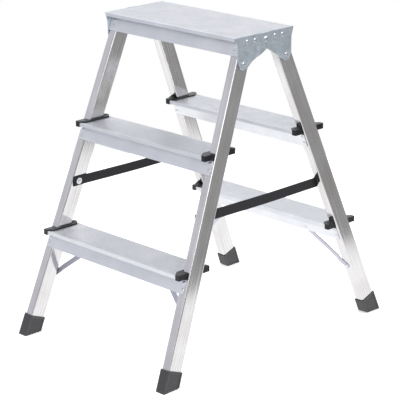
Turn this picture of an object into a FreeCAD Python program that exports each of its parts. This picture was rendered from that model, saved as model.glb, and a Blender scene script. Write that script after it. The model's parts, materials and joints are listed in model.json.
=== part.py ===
import FreeCAD, Part

import math
import os
import re

import Sketcher
from FreeCAD import Placement, Rotation, Vector

# Double-sided step ladder: two tread frames joined by a riveted hinge at the top.
# Frame: X runs along the treads, -Y is the front half, +Y the rear half, +Z is up.
# Origin: on the floor, midway between the four feet, under the hinge pins.

SIZES = [
    # overall
    ("platform_height", 700, "top of the platform above the floor"),
    ("top_half_width", 198, "centre to the stile's outer face, at platform height"),
    ("half_tilt", 21.6, "lean of each half from the vertical, degrees"),
    ("splay", 3.1, "lean of each stile outwards within its half, degrees"),
    ("step_rise", 233, "from one tread to the next"),
    # stiles: closed aluminium tube
    ("stile_width", 38, "wide side of the tube"),
    ("stile_depth", 22, "narrow side of the tube"),
    ("stile_wall", 1.5, "tube wall"),
    ("stile_corner", 3.5, "outer corner radius of the tube"),
    ("stile_top_drop", 4, "tube's mitred top end, below the platform's top face"),
    ("tube_end_height", 16, "centre of the tube's lower end above the floor"),
    # treads: one extrusion, cut to three lengths
    ("tread_depth", 85.6, "front lip to rear lip"),
    ("tread_overhang", 25, "front lip beyond the stile's face"),
    ("tread_plate", 2.5, "thickness of the top plate"),
    ("tread_lip", 8, "height of the front and rear lips"),
    ("lip_wall", 2.5, "thickness of the lips"),
    ("leg_height", 40, "tread top to the skirt's lower edge"),
    ("leg_wall", 2, "thickness of the skirts"),
    ("leg_setback", 4, "skirt end short of the stile's outer face"),
    ("groove_pitch", 5, "spacing of the anti-slip grooves"),
    ("groove_width", 1.8, "width of a groove"),
    ("groove_depth", 0.7, "depth of a groove"),
    ("seam_gap", 2, "gap between the two halves of the platform"),
    # tread end caps: moulded plastic
    ("cap_strip", 5.5, "cap between the tread and the stile's inner face"),
    ("cap_setback", 5.5, "cap short of the stile's outer face"),
    ("cap_end", 11, "cap over the ends of the lips"),
    ("cap_drop", 9.5, "cap below the tread's top"),
    ("cap_rise", 2.8, "cap above the tread's top"),
    ("cap_proud", 1.5, "cap in front of and behind the tread's lips"),
    ("cap_slot", 12, "from the stile's face to where the tread widens to its lip"),
    ("cap_corner", 1.2, "radius of the cap's outer upright corners"),
    ("cap_clearance", 0.3, "all round the stile"),
    ("gusset_rise", 6.5, "gusset on the cap, against the stile's inward face"),
    ("gusset_width", 15, "gusset from the cap's end, along the tread"),
    ("gusset_run", 15, "gusset from the stile's face, inwards"),
    ("notch_depth", 11.5, "depth of the tread's end notch for the cap"),
    # feet: moulded plastic shoes
    ("foot_wall", 1.8, "shoe wall"),
    ("foot_grip", 24, "shoe over the tube's end"),
    ("foot_clearance", 0.1, "between shoe and tube"),
    ("foot_border", 4, "frame around the recessed side panel"),
    ("foot_recess", 1, "depth of the side panel"),
    ("foot_corner", 1.5, "radius of the shoe's upright corners"),
    ("foot_chamfer", 2.5, "bevel at the inner lower corner"),
    ("foot_panel_low", 4, "outer side of the shoe below the level sole, cut off by the floor"),
    ("sole_groove", 3, "width of the sole's anti-slip grooves"),
    ("sole_pitch", 8, "spacing of the sole's grooves"),
    ("sole_groove_depth", 1.2, "depth of the sole's grooves"),
    # hinge plates: galvanised steel sheet
    ("plate_thickness", 2.5, "hinge plate sheet"),
    ("plate_seat", 0.45, "upright sheet clear of the stile, whose wide face turns slightly"),
    ("plate_gap", 0.3, "between the two overlapping hinge plates"),
    ("plate_tail", 70, "platform top to the plate's lower tip"),
    ("tail_inward", 17, "plate's tail inwards of the stile's centreline"),
    ("tail_outward", 8, "plate's tail outwards of the stile's centreline"),
    ("plate_bend", 50, "platform top to the bend of the tail"),
    ("hinge_rivet_drop", 11.5, "the plates' upper rivets below the platform's top"),
    ("hinge_rivet_spread", 11.5, "the plates' upper rivets either side of the stile's centreline"),
    ("rivet_room", 1.1, "least room between a rivet's head and a bend or another head"),
    ("tail_rivet_rise", 13, "tail rivet above the plate's lower tip"),
    ("pivot_drop", 13.5, "hinge axis below the platform's top"),
    ("pivot_radius", 3.5, "shank of the hinge rivet"),
    ("pivot_clearance", 0.08, "radial clearance in the plate that turns"),
    ("pivot_head", 6.5, "radius of the hinge rivet's outer head"),
    ("pivot_dome", 2.4, "height of the hinge rivet's outer head"),
    ("pivot_end", 1.6, "height of the hinge rivet's inner head"),
    ("pivot_foot", 5, "radius of the hinge rivet's inner head"),
    ("hinge_eye", 14, "radius of the plates' eye around the hinge rivet"),
    ("eye_corner", 5, "bevel at the eye's upper corner"),
    ("joggle_start", 3, "front plate's joggle begins beyond its eye"),
    ("joggle_run", 7, "length of the front plate's joggle"),
    ("front_notch", 23, "hinge axis to the point of the V under the front plate"),
    ("rear_notch", 18, "the same under the rear plate, which turns behind the joggle"),
    # braces: galvanised flat strip
    ("brace_width", 12, "strip width"),
    ("brace_thickness", 2, "strip thickness"),
    ("joggle_far", 30, "brace's joggle begins before its lower rivet"),
    ("joggle_near", 24, "brace's joggle ends before its lower rivet"),
    ("brace_reach", 121, "upper rivet from the middle of the tread"),
    ("brace_low", 110, "tread top down to the lower rivet"),
    ("brace_high", 33, "tread top down to the upper rivet"),
    # straps: woven webbing
    ("strap_drop", 365, "platform top down to the middle of the strap"),
    ("strap_width", 22, "webbing width"),
    ("strap_thickness", 1.6, "webbing thickness"),
    ("strap_end", 15, "strap beyond its rivet"),
    ("strap_play", 0.4, "between webbing and washer"),
    ("strap_clearance", 0.6, "between webbing and stile"),
    # rivets
    ("rivet_head", 4.5, "radius of the domed head"),
    ("rivet_dome", 1.7, "height of the domed head"),
    ("rivet_shank", 2.4, "radius of the shank"),
    ("rivet_grip", 5.5, "length of the shank under the head"),
    ("long_grip", 7.5, "shank of the rivets through a plate or a strap"),
    ("rivet_high", 18, "upper tread rivet below the tread's top"),
    ("rivet_low", 32, "lower tread rivet below the tread's top"),
    ("washer_radius", 7.5, "strap washer"),
    ("washer_thickness", 1, "strap and pivot washers"),
    ("washer_play", 0.1, "each side of the pivot washer"),
]

doc = FreeCAD.newDocument("StepLadder")
sheet = doc.addObject("Spreadsheet::Sheet", "Sizes")
workings = doc.addObject("Spreadsheet::Sheet", "Workings")
ALIASES = {alias for alias, number, note in SIZES}
worked_out = {}
nodes = {}


def fill_sheet():
    """One row for each driving size: what it is, its value under an alias."""
    for row, (alias, number, note) in enumerate(SIZES, start=1):
        sheet.set(f"A{row}", note)
        sheet.set(f"B{row}", str(number))
        sheet.setAlias(f"B{row}", alias)
    doc.recompute()


def bound(formula):
    """The formula as an object's expression, with every alias read from the sheet."""
    return re.sub(r"[a-z_]+", lambda word: f"Sizes.{word[0]}" if word[0] in ALIASES else word[0], formula)


def value(formula):
    """The formula's number, worked out in the first cell of the second sheet."""
    formula = str(formula)
    if formula not in worked_out:
        workings.set("A1", "=" + bound(formula))
        workings.recompute()
        worked_out[formula] = float(workings.get("A1"))
    return worked_out[formula]


def origin_plane(body, role):
    """One of the body's own origin planes."""
    return next(part for part in body.Origin.OriginFeatures if part.Role == role)


def new_body(name):
    return doc.addObject("PartDesign::Body", name)


def outline(body, name, role, loops, lift="0"):
    """A sketch of closed polygons whose corners are pairs of formulas."""
    sketch = body.newObject("Sketcher::SketchObject", name)
    sketch.AttachmentSupport = [(origin_plane(body, role), "")]
    sketch.MapMode = "FlatFace"
    sketch.AttachmentOffset = Placement(Vector(0, 0, value(lift)), Rotation())
    if lift != "0":
        sketch.setExpression("AttachmentOffset.Base.z", bound(lift))
    first = 0
    for corners in loops:
        count = len(corners)
        points = [Vector(value(across), value(along), 0) for across, along in corners]
        for index in range(count):
            sketch.addGeometry(Part.LineSegment(points[index], points[(index + 1) % count]), False)
        for index in range(count):
            following = first + (index + 1) % count
            sketch.addConstraint(Sketcher.Constraint("Coincident", first + index, 2, following, 1))
        for index, corner in enumerate(corners):
            for kind, formula in zip(("DistanceX", "DistanceY"), corner):
                number = value(formula)
                constraint = Sketcher.Constraint(kind, -1, 1, first + index, 1, number)
                place = sketch.addConstraint(constraint)
                sketch.setExpression(f"Constraints[{place}]", bound(str(formula)))
        first += count
    return sketch


def pad(body, name, sketch, length, both_ways=False, backwards=False):
    """Material along the sketch's normal."""
    feature = body.newObject("PartDesign::Pad", name)
    feature.Profile = sketch
    feature.Length = value(length)
    feature.setExpression("Length", bound(length))
    feature.Midplane = both_ways
    feature.Reversed = backwards
    body.Tip = feature
    return feature


def pocket(body, name, sketch, length, both_ways=False, backwards=False):
    """A cut along the sketch's normal; it must take material away."""
    doc.recompute()
    before = body.Shape.Volume
    feature = body.newObject("PartDesign::Pocket", name)
    feature.Profile = sketch
    feature.Length = value(length)
    feature.setExpression("Length", bound(length))
    feature.Midplane = both_ways
    feature.Reversed = backwards
    body.Tip = feature
    doc.recompute()
    if body.Shape.Volume > before - 0.01:
        raise RuntimeError(f"{body.Name}: {name} cuts nothing")
    return feature


def fillet(body, name, radius, wanted):
    """Rounds every edge of the body's last feature that the test picks."""
    doc.recompute()
    base = body.Tip
    edges = [f"Edge{index}" for index, edge in enumerate(base.Shape.Edges, start=1) if wanted(edge)]
    feature = body.newObject("PartDesign::Fillet", name)
    feature.Base = (base, edges)
    feature.Radius = value(radius)
    feature.setExpression("Radius", bound(radius))
    body.Tip = feature
    return feature


def runs_along(edge, axis):
    """A straight edge parallel to the axis."""
    if edge.Curve.TypeId != "Part::GeomLine":
        return False
    return abs(abs(edge.Curve.Direction.dot(axis)) - 1) < 1e-6


def box(name, length, width, height, placement):
    """A centred box in the given frame, used as a cutting tool."""
    tool = doc.addObject("Part::Box", name)
    for prop, formula in (("Length", length), ("Width", width), ("Height", height)):
        tool.setExpression(prop, bound(formula))
    middle = Vector(-value(length) / 2, -value(width) / 2, -value(height) / 2)
    tool.Placement = placement.multiply(Placement(middle, Rotation()))
    return tool


def drills(name, radius, height, places):
    """Drill cylinders, each centred on its place and lying along its Z."""
    cylinders = []
    for index, place in enumerate(places):
        cylinder = doc.addObject("Part::Cylinder", f"{name}_{index}")
        cylinder.setExpression("Radius", bound(radius))
        cylinder.setExpression("Height", bound(height))
        middle = Vector(0, 0, -value(height) / 2)
        cylinder.Placement = place.multiply(Placement(middle, Rotation()))
        cylinders.append(cylinder)
    return cylinders


def cut(label, base, tools):
    """The base less its tools, as the named node."""
    gathered = doc.addObject("Part::Compound", f"{label}_tools")
    gathered.Links = tools
    result = doc.addObject("Part::Cut", f"{label}_cut")
    result.Base = base
    result.Tool = gathered
    keep(label, result)
    return result


def keep(label, item):
    """Registers a finished sub-part under its node name."""
    item.Label = label
    nodes[label] = item


# ---- places ------------------------------------------------------------------------------------

DOME_STEPS = 6
HALVES = {"front": -1, "rear": 1}
SIDES = {"left": -1, "right": 1}

# Half the tube's width measured level, and the centreline's distance from the hinge plane.
LEVEL_HALF = "stile_width / 2 / cos(half_tilt)"
CENTRE_OFFSET = f"(seam_gap / 2 + tread_depth - tread_overhang - {LEVEL_HALF})"
TREAD_HEIGHTS = {
    "platform": "platform_height",
    "middle": "platform_height - step_rise",
    "lower": "platform_height - 2 * step_rise",
}
STRAP_HEIGHT = "platform_height - strap_drop"
# A tread's lips, measured from the stiles' centreline; the front lip is the outer one.
FRONT_EDGE = f"(-{LEVEL_HALF} - tread_overhang)"
REAR_EDGE = f"({FRONT_EDGE} + tread_depth)"
# The stile's outer and inner faces at a height.
OUTER_X = "(top_half_width + (platform_height - ({height})) * tan(splay) / cos(half_tilt))"
INNER_X = "(" + OUTER_X + " - stile_depth / cos(splay))"


def outer_x(height):
    """Formula for the stile's outer face at a height."""
    return OUTER_X.format(height=height)


def inner_x(height):
    """Formula for the stile's inner face at a height."""
    return INNER_X.format(height=height)


def tilt():
    """The lean of each half in radians."""
    return math.radians(value("half_tilt"))


def turn_to(half):
    """The rear half is the front half turned about the upright."""
    angle = 0 if half == "front" else 180
    return Placement(Vector(), Rotation(Vector(0, 0, 1), angle))


def local_side(half, side):
    """+1 or -1 along the half's own X; turning the rear half swaps left and right."""
    return -SIDES[side] * HALVES[half]


def half_frame(half):
    """X along the treads, Y square to the stiles and inwards, Z up the slope."""
    start = Vector(0, -value(CENTRE_OFFSET), value("platform_height"))
    lean = Placement(start, Rotation(Vector(1, 0, 0), -value("half_tilt")))
    return turn_to(half).multiply(lean)


def stile_frame(half, side):
    """Z up the stile's centreline, X square to its wide faces, origin at platform height."""
    way = local_side(half, side)
    across = value("top_half_width - stile_depth / 2 / cos(splay)")
    lean = Placement(Vector(way * across, 0, 0), Rotation(Vector(0, 1, 0), -way * value("splay")))
    return half_frame(half).multiply(lean)


def tread_frame(half, height):
    """Level frame at the middle of a tread's top, over the stiles' centreline."""
    out = value(f"{CENTRE_OFFSET} + (platform_height - ({height})) * tan(half_tilt)")
    return turn_to(half).multiply(Placement(Vector(0, -out, value(height)), Rotation()))


def down_stile(height):
    """Formula for the length of centreline from platform height down to a height."""
    return f"((platform_height - ({height})) / cos(half_tilt) / cos(splay))"


def tread_rivet_places(half, height, face, sides=("left", "right")):
    """Two rivets at each end of a skirt; Z points out of the skirt."""
    places = []
    level = value("stile_width / 2 + leg_wall") * face
    for side in sides:
        for drop in ("rivet_high", "rivet_low"):
            rise = value(f"-(platform_height - ({height})) - {drop}") + level * math.sin(tilt())
            along = rise / math.cos(tilt())
            across = value("top_half_width - stile_depth / 2 / cos(splay)")
            across += -along * math.tan(math.radians(value("splay")))
            spot = Vector(local_side(half, side) * across, level, along)
            facing = Rotation(Vector(0, 0, 1), Vector(0, face, 0))
            places.append(half_frame(half).multiply(Placement(spot, facing)))
    return places


def sheet_plane():
    """Formula for the inner face of the upright hinge plates."""
    return f"({outer_x('platform_height - plate_bend')} + plate_seat)"


def hinge_rivet_places(half, side):
    """Two rivets under the platform's edge and one at the end of the tail; Z points outwards."""
    way = SIDES[side]
    toward = HALVES[half]
    places = []
    top_row = value("platform_height - hinge_rivet_drop")
    plane = value(f"{sheet_plane()} + plate_thickness")
    outward = Rotation(Vector(0, 0, 1), Vector(way, 0, 0))
    middle = value(CENTRE_OFFSET)
    past_joggle = value("hinge_eye + joggle_start + joggle_run + rivet_head + rivet_room")
    inner = max(middle - value("hinge_rivet_spread"), past_joggle)
    outer = max(middle + value("hinge_rivet_spread"), inner + value("2 * rivet_head + rivet_room"))
    for away in (inner, outer):
        places.append(Placement(Vector(way * plane, toward * away, top_row), outward))
    tip = value("platform_height - plate_tail + tail_rivet_rise")
    below_bend = "(plate_tail - plate_bend - tail_rivet_rise)"
    face = f"{sheet_plane()} + {below_bend} * tan(splay) / cos(half_tilt)"
    reach = value(f"{face} + plate_thickness")
    sag = middle + value("(plate_tail - tail_rivet_rise) * tan(half_tilt)")
    lean = Rotation(Vector(0, 1, 0), -way * value("atan(tan(splay) / cos(half_tilt))"))
    places.append(Placement(Vector(way * reach, toward * sag, tip), lean.multiply(outward)))
    return places


def brace_ends(half, side):
    """Where the two rivets cross the stile's inward face, in the half's own frame: the upper one
    through the skirt, the lower one through the stile."""
    way = local_side(half, side)
    level = value(f"platform_height - ({TREAD_HEIGHTS['lower']})")
    face = value("stile_width / 2")
    ends = []
    for drop in ("brace_high", "brace_low"):
        along = (-level - value(drop) + face * math.sin(tilt())) / math.cos(tilt())
        ends.append(Vector(way * value("brace_reach"), face, along))
    across = value("top_half_width - stile_depth / 2 / cos(splay)")
    across += -ends[1].z * math.tan(math.radians(value("splay")))
    ends[1].x = way * across
    return ends


def brace_rivet_places(half, side):
    """Z points inwards: the upper head lies on the skirt, the lower one on the brace."""
    facing = Rotation(Vector(0, 0, 1), Vector(0, 1, 0))
    frame = half_frame(half)
    places = []
    for end, lift in zip(brace_ends(half, side), ("leg_wall", "brace_thickness")):
        spot = end + Vector(0, value(lift), 0)
        places.append(frame.multiply(Placement(spot, facing)))
    return places


def strap_rivet_place(half, side, lift):
    """On the stile's inner face, Z pointing to the middle of the ladder."""
    way = local_side(half, side)
    down = value(down_stile(STRAP_HEIGHT))
    across = -way * (value("stile_depth / 2") + lift)
    facing = Rotation(Vector(0, 0, 1), Vector(-way, 0, 0))
    return stile_frame(half, side).multiply(Placement(Vector(across, 0, -down), facing))


# ---- sub-parts ---------------------------------------------------------------------------------

def rectangle(half_across, half_along):
    """Four corners about the origin."""
    return [
        (f"-({half_across})", f"-({half_along})"),
        (half_across, f"-({half_along})"),
        (half_across, half_along),
        (f"-({half_across})", half_along),
    ]


def make_stile(half, side):
    """Closed tube with a mitred top end, drilled for everything riveted to it."""
    label = f"{half}_{side}_stile"
    body = new_body(f"{label}_tube")
    length = down_stile("tube_end_height")
    section = outline(body, "section", "XY_Plane", [rectangle("stile_depth / 2", "stile_width / 2")])
    pad(body, "tube", section, f"{length} + stile_width")
    fillet(body, "corners", "stile_corner", lambda edge: runs_along(edge, Vector(0, 0, 1)))
    bore_corners = rectangle("stile_depth / 2 - stile_wall", "stile_width / 2 - stile_wall")
    bore = outline(body, "bore_section", "XY_Plane", [bore_corners])
    pocket(body, "bore", bore, f"{length} + 2 * stile_width", backwards=True)
    # The top end is level: it rises from the inner side to the outer side in the tube's own frame.
    edge = f"({length} + ({{y}} * sin(half_tilt) - stile_top_drop) / cos(half_tilt) / cos(splay))"
    above = f"{length} + 3 * stile_width"
    mitre_corners = [
        ("-stile_width", edge.format(y="-stile_width")),
        ("stile_width", edge.format(y="stile_width")),
        ("stile_width", above),
        ("-stile_width", above),
    ]
    mitre = outline(body, "mitre_section", "YZ_Plane", [mitre_corners])
    pocket(body, "mitre", mitre, "2 * stile_width", both_ways=True)
    low_end = Placement(Vector(0, 0, -value(length)), Rotation())
    body.Placement = stile_frame(half, side).multiply(low_end)
    places = []
    for height in TREAD_HEIGHTS.values():
        for face in (-1, 1):
            places += tread_rivet_places(half, height, face, (side,))
    places += hinge_rivet_places(half, side)
    places.append(brace_rivet_places(half, side)[1])
    places.append(strap_rivet_place(half, side, 0))
    cut(label, body, drills(f"{label}_hole", "rivet_shank", "4 * rivet_grip", places))


def tread_profile():
    """Section across the tread: plate, two lips and two leaning skirts."""
    front, rear = FRONT_EDGE, REAR_EDGE
    wall = "leg_wall / cos(half_tilt)"

    def skirt(level, drop):
        return f"{level} - {drop} * tan(half_tilt)"

    return [
        (front, "0"),
        (rear, "0"),
        (rear, "-tread_lip"),
        (f"{rear} - lip_wall", "-tread_lip"),
        (f"{rear} - lip_wall", "-tread_plate"),
        (skirt(f"{LEVEL_HALF} + {wall}", "tread_plate"), "-tread_plate"),
        (skirt(f"{LEVEL_HALF} + {wall}", "leg_height"), "-leg_height"),
        (skirt(LEVEL_HALF, "leg_height"), "-leg_height"),
        (skirt(LEVEL_HALF, "tread_plate"), "-tread_plate"),
        (skirt(f"-{LEVEL_HALF}", "tread_plate"), "-tread_plate"),
        (skirt(f"-{LEVEL_HALF}", "leg_height"), "-leg_height"),
        (skirt(f"-{LEVEL_HALF} - {wall}", "leg_height"), "-leg_height"),
        (skirt(f"-{LEVEL_HALF} - {wall}", "tread_plate"), "-tread_plate"),
        (f"{front} + lip_wall", "-tread_plate"),
        (f"{front} + lip_wall", "-tread_lip"),
        (front, "-tread_lip"),
    ]


def tread_end_line(height, way, past="0"):
    """Where a tread's end meets its cap, seen from above: rear lip, slant, beside the stile,
    slant, front lip. Past lengthens both ends beyond the lips."""
    lip_end = f"{way} * ({outer_x(height)} - cap_setback - cap_end)"
    beside = f"{way} * ({inner_x(height)} - cap_strip)"
    line = [
        (lip_end, REAR_EDGE),
        (beside, f"({LEVEL_HALF} + cap_slot)"),
        (beside, f"(-{LEVEL_HALF} - cap_slot)"),
        (lip_end, FRONT_EDGE),
    ]
    if past != "0":
        line = [(lip_end, f"{REAR_EDGE} + {past}"), *line, (lip_end, f"{FRONT_EDGE} - {past}")]
    return line


def make_tread(half, level):
    """The tread extrusion, grooved on top; lower treads are notched at the ends for their caps."""
    label = f"{half}_{level}_step"
    height = TREAD_HEIGHTS[level]
    body = new_body(f"{label}_extrusion")
    profile = outline(body, "profile", "YZ_Plane", [tread_profile()])
    if level == "platform":
        length = f"2 * ({sheet_plane()} - plate_gap)"
    else:
        length = f"2 * ({outer_x(height)} - leg_setback)"
    pad(body, "extrusion", profile, length, both_ways=True)
    groove_start = f"{FRONT_EDGE} + groove_pitch"
    groove_corners = [
        (groove_start, "-groove_depth"),
        (f"{groove_start} + groove_width", "-groove_depth"),
        (f"{groove_start} + groove_width", "groove_depth"),
        (groove_start, "groove_depth"),
    ]
    groove = outline(body, "groove_section", "YZ_Plane", [groove_corners])
    cutter = pocket(body, "groove", groove, f"2 * {length}", both_ways=True)
    pattern = body.newObject("PartDesign::LinearPattern", "grooves")
    pattern.Originals = [cutter]
    pattern.Direction = (groove, ["H_Axis"])
    count = int((value("tread_depth") - 2 * value("groove_pitch")) // value("groove_pitch")) + 1
    pattern.Length = value("groove_pitch") * (count - 1)
    pattern.Occurrences = count
    body.Tip = pattern
    if level != "platform":
        beyond = f"({outer_x(height)} + cap_end)"
        loops = []
        for way in (1, -1):
            line = tread_end_line(height, way, past="cap_end")
            outside = [(f"{way} * {beyond}", line[-1][1]), (f"{way} * {beyond}", line[0][1])]
            loops.append(line + outside)
        ends = outline(body, "end_section", "XY_Plane", loops)
        pocket(body, "end_notches", ends, "notch_depth")
    body.Placement = tread_frame(half, height)
    places = []
    for face in (-1, 1):
        places += tread_rivet_places(half, height, face)
    if level == "lower":
        for side in SIDES:
            places.append(brace_rivet_places(half, side)[0])
    # Short drills, so that a hole goes through one skirt only.
    cut(label, body, drills(f"{label}_hole", "rivet_shank", "2 * rivet_grip", places))


def make_cap(half, level, side):
    """Plastic cap around the stile over a tread's end, with a gusset on the inward side."""
    label = f"{half}_{level}_{side}_end_cap"
    height = TREAD_HEIGHTS[level]
    way = local_side(half, side)
    out = f"({outer_x(height)} - cap_setback)"
    body = new_body(f"{label}_moulding")
    ends = (f"({REAR_EDGE} + cap_proud)", f"({FRONT_EDGE} - cap_proud)")
    line = tread_end_line(height, way)
    plan = [(line[0][0], ends[0]), *line, (line[-1][0], ends[1])]
    plan += [(f"{way} * {out}", ends[1]), (f"{way} * {out}", ends[0])]
    base = outline(body, "plan", "XY_Plane", [plan], lift="-cap_drop")
    pad(body, "block", base, "cap_drop + cap_rise")
    outer_end = value(out) - 1

    def outer_corner(edge):
        return runs_along(edge, Vector(0, 0, 1)) and abs(edge.CenterOfMass.x) > outer_end

    fillet(body, "corners", "cap_corner", outer_corner)
    # The gusset: a wedge against the stile, cut to a slope on its other side too.
    face = f"{LEVEL_HALF} + cap_clearance"
    wedge = [
        (f"{face} - cap_corner", "0"),
        (f"{face} + gusset_run", "0"),
        (f"{face} + gusset_run", "cap_rise"),
        (face, "cap_rise + gusset_rise"),
        (f"{face} - cap_corner", "cap_rise + gusset_rise"),
    ]
    start = f"{out} - cap_corner - gusset_width" if way > 0 else f"-{out} + cap_corner"
    wedge_section = outline(body, "gusset_section", "YZ_Plane", [wedge], lift=start)
    pad(body, "gusset", wedge_section, "gusset_width")
    slope = [
        (f"{way} * ({out} - cap_corner)", "cap_rise + gusset_rise"),
        (f"{way} * ({out} - cap_corner)", "cap_rise + 2 * gusset_rise"),
        (f"{way} * ({out} - cap_corner - 2 * gusset_width)", "cap_rise + 2 * gusset_rise"),
        (f"{way} * ({out} - cap_corner - 2 * gusset_width)", "cap_rise"),
        (f"{way} * ({out} - cap_corner - gusset_width)", "cap_rise"),
    ]
    slope_section = outline(body, "slope_section", "XZ_Plane", [slope])
    pocket(body, "gusset_slope", slope_section, "8 * tread_depth", both_ways=True)
    body.Placement = tread_frame(half, height)
    drop = Placement(Vector(0, 0, -value(down_stile(height))), Rotation())
    room = box(
        f"{label}_room",
        "stile_depth + 2 * cap_clearance",
        "stile_width + 2 * cap_clearance",
        "4 * stile_width",
        stile_frame(half, side).multiply(drop),
    )
    cut(label, body, [room])


def make_foot(half, side):
    """Plastic shoe: square rim across the tube, level sole, recessed side panels."""
    label = f"{half}_{side}_foot"
    body = new_body(f"{label}_shoe")
    half_long = "(stile_width / 2 + foot_clearance + foot_wall)"
    half_thick = "(stile_depth / 2 + foot_clearance + foot_wall)"

    def sole(level):
        return f"(({level} * sin(half_tilt) - tube_end_height) / cos(half_tilt) / cos(splay))"

    profile_corners = [
        (f"-{half_long}", "foot_grip"),
        (f"-{half_long}", f"{sole('-' + half_long)} - foot_panel_low"),
        (f"{half_long} - foot_chamfer", f"{sole('-' + half_long)} - foot_panel_low"),
        (f"{half_long} - foot_chamfer", sole(f"({half_long} - foot_chamfer)")),
        (half_long, f"{sole(half_long)} + foot_chamfer"),
        (half_long, "foot_grip"),
    ]
    profile = outline(body, "profile", "YZ_Plane", [profile_corners])
    pad(body, "shoe", profile, f"2 * {half_thick}", both_ways=True)
    fillet(body, "corners", "foot_corner", lambda edge: runs_along(edge, Vector(0, 0, 1)))
    socket_corners = rectangle("stile_depth / 2 + foot_clearance", "stile_width / 2 + foot_clearance")
    socket = outline(body, "socket_section", "XY_Plane", [socket_corners])
    pocket(body, "socket", socket, "2 * foot_grip", backwards=True)
    inner = f"({half_long} - foot_border)"
    panel_corners = [
        (f"-{inner}", "foot_grip - foot_border"),
        (f"-{inner}", f"{sole('-' + inner)} + foot_border"),
        (inner, f"{sole(inner)} + foot_border"),
        (inner, "foot_grip - foot_border"),
    ]
    for way, name in ((1, "right"), (-1, "left")):
        lift = f"{way} * ({half_thick} - foot_recess)"
        panel = outline(body, f"{name}_panel_section", "YZ_Plane", [panel_corners], lift=lift)
        pocket(body, f"{name}_panel", panel, "5 * foot_recess", backwards=(way == 1))
    low_end = Placement(Vector(0, 0, -value(down_stile("tube_end_height"))), Rotation())
    body.Placement = stile_frame(half, side).multiply(low_end)
    floor_box = "4 * stile_width"
    below = Vector(body.Placement.Base.x, body.Placement.Base.y, -value(floor_box) / 2)
    ground = box(f"{label}_ground", floor_box, floor_box, floor_box, Placement(below, Rotation()))
    tools = [ground]
    for index, step in enumerate((-1.5, -0.5, 0.5, 1.5)):
        spot = Vector(below.x, below.y + step * value("sole_pitch"), 0)
        groove = box(
            f"{label}_groove_{index}",
            floor_box,
            "sole_groove",
            "2 * sole_groove_depth",
            Placement(spot, Rotation()),
        )
        tools.append(groove)
    cut(label, body, tools)


def plate_edge(toward, notch):
    """Outline of a hinge plate in side view: level top, eye at the hinge, V under it, slim tail.
    The notch is how far the point of the V lies below the hinge axis."""
    corner = f"(seam_gap / 2 + tread_depth)"
    top = "platform_height"
    down = f"{CENTRE_OFFSET} + plate_tail * tan(half_tilt)"
    inner_tip = f"({down} - tail_inward)"
    outer_tip = f"({down} + tail_outward)"
    points = [
        (corner, top),
        (f"({corner} - plate_tail * 0.09)", f"{top} - plate_tail * 0.3"),
        (f"({outer_tip} + plate_tail * 0.04)", f"{top} - plate_tail * 0.74"),
        (f"({outer_tip} - plate_tail * 0.03)", f"{top} - plate_tail * 0.96"),
        (f"({outer_tip} - plate_tail * 0.1)", f"{top} - plate_tail"),
        (f"({inner_tip} + plate_tail * 0.09)", f"{top} - plate_tail"),
        (inner_tip, f"{top} - plate_tail * 0.94"),
        (f"({inner_tip} - plate_tail * 0.17)", f"{top} - plate_tail * 0.81"),
        ("0", f"{top} - pivot_drop - {notch}"),
        ("-hinge_eye * 0.75", f"{top} - pivot_drop - hinge_eye"),
        ("-hinge_eye", f"{top} - pivot_drop - hinge_eye * 0.3"),
        ("-hinge_eye", f"{top} - eye_corner"),
        ("-hinge_eye + eye_corner", top),
    ]
    return [(f"{toward} * ({along})", height) for along, height in points]


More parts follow.
